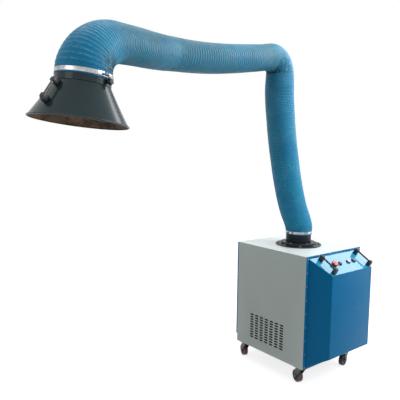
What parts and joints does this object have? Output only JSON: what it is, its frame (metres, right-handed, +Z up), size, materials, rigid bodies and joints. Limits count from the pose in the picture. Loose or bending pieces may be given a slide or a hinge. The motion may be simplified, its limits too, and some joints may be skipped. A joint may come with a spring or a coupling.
{
  "type": "portable fume extractor",
  "caption": "Wheeled filter cabinet with a jointed extraction arm in ribbed hose and a round suction hood; draws welding fume through a cartridge filter.",
  "frame": {"origin": "on the floor under the arm's swivel axis, in the middle of the cabinet", "axes": "+Z up; -Y towards the control bay; -X towards the vented side, over which the arm reaches"},
  "size_m": [2.1393, 0.9215, 1.9952],
  "materials": {
    "grey_panel": "satin grey paint",
    "top_paint": "satin light grey paint",
    "blue_paint": "satin blue paint",
    "panel_paint": "smooth pale blue-green paint",
    "inner_steel": "bare sheet",
    "zinc": "bright zinc",
    "stainless": "bright stainless",
    "black_metal": "satin black paint",
    "collar_metal": "gloss black paint",
    "black_plastic": "fine grain",
    "grip_bar": "satin",
    "bezel_plastic": "smooth",
    "estop_red": "smooth red",
    "test_black": "smooth black",
    "lamp_red": "smooth red lens",
    "start_green": "smooth green",
    "contact_plastic": "moulded",
    "filter_media": "pleated",
    "fan_steel": "bare",
    "motor_iron": "painted",
    "bar_alloy": "satin",
    "hose_cloth": "coated cloth with a soft sheen",
    "hood_paint": "gloss near black paint",
    "tyre_dark": "smooth tread",
    "tyre_brown": "smooth reddish brown tread"
  },
  "bodies": {
    "cabinet": {"base_pan": "grey_panel", "left_side_panel": "grey_panel", "right_side_panel": "grey_panel", "top_panel": "top_paint", "rear_cover": "blue_paint", "front_cover": "blue_paint", "bulkhead": "inner_steel", "cover_screws": "zinc", "control_panel": "panel_paint", "button_bezels": "bezel_plastic", "contact_blocks": "contact_plastic", "panel_handle_feet": "black_plastic", "panel_handle_bars": "black_metal", "electrical_box": "inner_steel", "filter_shelf": "inner_steel", "filter_cartridge": "filter_media", "fan_housing": "inner_steel", "fan_motor": "motor_iron", "base_flange": "black_metal", "bearing_cap": "black_metal", "flange_bolts": "zinc", "caster_plates": "zinc"},
    "estop": {"estop_button": "estop_red"},
    "test": {"test_button": "test_black"},
    "lamp": {"lamp_button": "lamp_red"},
    "start": {"start_button": "start_green"},
    "fan": {"fan_wheel": "fan_steel", "motor_shaft": "inner_steel"},
    "swivel": {"swivel_collar": "collar_metal", "shoulder_bracket": "inner_steel", "base_clamp": "stainless", "hose_shoulder": "hose_cloth"},
    "lower_arm": {"lower_arm_bar": "bar_alloy", "elbow_pin": "inner_steel", "hose_lower": "hose_cloth", "hose_elbow": "hose_cloth"},
    "forearm": {"forearm_bar": "bar_alloy", "swing_pin": "inner_steel", "hose_fore": "hose_cloth", "hose_swing": "hose_cloth"},
    "hood_arm": {"hood_arm_bar": "bar_alloy", "hose_end": "hose_cloth", "hose_wrist": "hose_cloth"},
    "hood_neck": {"hood_neck": "black_metal", "hood_clamp": "stainless", "tilt_bracket": "inner_steel"},
    "damper": {"damper_flap": "inner_steel", "damper_knob": "black_plastic"},
    "hood": {"hood_cone": "hood_paint", "hood_handle_feet": "black_plastic", "hood_handle_bar": "grip_bar"},
    "caster_front_left": {"caster_fork_front_left": "zinc"},
    "wheel_front_left": {"caster_wheel_front_left": "tyre_brown"},
    "caster_front_right": {"caster_fork_front_right": "zinc"},
    "wheel_front_right": {"caster_wheel_front_right": "tyre_dark"},
    "caster_back_left": {"caster_fork_back_left": "zinc"},
    "wheel_back_left": {"caster_wheel_back_left": "tyre_brown"},
    "caster_back_right": {"caster_fork_back_right": "zinc"},
    "wheel_back_right": {"caster_wheel_back_right": "tyre_dark"}
  },
  "joints": [
    {"name": "base_swivel", "type": "hinge", "parent": "cabinet", "child": "swivel", "pos_m": [0, 0, 0.79], "axis": [0, 0, 1], "continuous": true},
    {"name": "shoulder_tilt", "type": "hinge", "parent": "swivel", "child": "lower_arm", "pos_m": [0, 0, 0.905], "axis": [0.1219, -0.9925, 0], "range_deg": [-25, 30], "deforming": ["hose_shoulder"]},
    {"name": "elbow_fold", "type": "hinge", "parent": "lower_arm", "child": "forearm", "pos_m": [-0.28777, -0.03533, 1.88348], "axis": [-0.1219, 0.9925, 0], "range_deg": [-35, 60], "deforming": ["hose_elbow"]},
    {"name": "forearm_swing", "type": "hinge", "parent": "forearm", "child": "hood_arm", "pos_m": [-1.11156, -0.13648, 1.82544], "axis": [-0.0692, -0.0085, 0.9976], "range_deg": [-65, 35], "deforming": ["hose_swing"]},
    {"name": "hood_tilt", "type": "hinge", "parent": "hood_arm", "child": "hood_neck", "pos_m": [-1.67353, -0.45017, 1.74425], "axis": [0.4934, -0.8674, -0.0638], "range_deg": [-80, 20], "deforming": ["hose_wrist"]},
    {"name": "hood_turn", "type": "hinge", "parent": "hood_neck", "child": "hood", "pos_m": [-1.69035, -0.44944, 1.60425], "axis": [0.1193, -0.0052, 0.9928], "continuous": true},
    {"name": "damper_turn", "type": "hinge", "parent": "hood_neck", "child": "damper", "pos_m": [-1.68904, -0.4495, 1.61517], "axis": [0.4934, -0.8674, -0.0638], "range_deg": [0, 90]},
    {"name": "fan_spin", "type": "hinge", "parent": "cabinet", "child": "fan", "pos_m": [0, 0, 0.33], "axis": [0, 0, 1], "continuous": true},
    {"name": "estop_press", "type": "slide", "parent": "cabinet", "child": "estop", "axis": [0, 0.5154, -0.8569], "range_m": [0, 0.003]},
    {"name": "test_press", "type": "slide", "parent": "cabinet", "child": "test", "axis": [0, 0.5154, -0.8569], "range_m": [0, 0.003], "stiffness_N_per_m": 700, "springref_m": -0.001},
    {"name": "lamp_press", "type": "slide", "parent": "cabinet", "child": "lamp", "axis": [0, 0.5154, -0.8569], "range_m": [0, 0.003], "stiffness_N_per_m": 700, "springref_m": -0.001},
    {"name": "start_press", "type": "slide", "parent": "cabinet", "child": "start", "axis": [0, 0.5154, -0.8569], "range_m": [0, 0.003], "stiffness_N_per_m": 700, "springref_m": -0.001},
    {"name": "swivel_front_left", "type": "hinge", "parent": "cabinet", "child": "caster_front_left", "pos_m": [-0.222, -0.236, 0.093], "axis": [0, 0, 1], "continuous": true},
    {"name": "roll_front_left", "type": "hinge", "parent": "caster_front_left", "child": "wheel_front_left", "pos_m": [-0.21547, -0.2098, 0.0375], "axis": [-0.9703, 0.2419, 0], "continuous": true},
    {"name": "swivel_front_right", "type": "hinge", "parent": "cabinet", "child": "caster_front_right", "pos_m": [0.222, -0.236, 0.093], "axis": [0, 0, 1], "continuous": true},
    {"name": "roll_front_right", "type": "hinge", "parent": "caster_front_right", "child": "wheel_front_right", "pos_m": [0.19541, -0.24069, 0.0375], "axis": [0.1736, -0.9848, 0], "continuous": true},
    {"name": "swivel_back_left", "type": "hinge", "parent": "cabinet", "child": "caster_back_left", "pos_m": [-0.222, 0.236, 0.093], "axis": [0, 0, 1], "continuous": true},
    {"name": "roll_back_left", "type": "hinge", "parent": "caster_back_left", "child": "wheel_back_left", "pos_m": [-0.21277, 0.26137, 0.0375], "axis": [-0.9397, 0.342, 0], "continuous": true},
    {"name": "swivel_back_right", "type": "hinge", "parent": "cabinet", "child": "caster_back_right", "pos_m": [0.222, 0.236, 0.093], "axis": [0, 0, 1], "continuous": true},
    {"name": "roll_back_right", "type": "hinge", "parent": "caster_back_right", "child": "wheel_back_right", "pos_m": [0.20651, 0.21388, 0.0375], "axis": [0.8192, -0.5736, 0], "continuous": true}
  ]
}
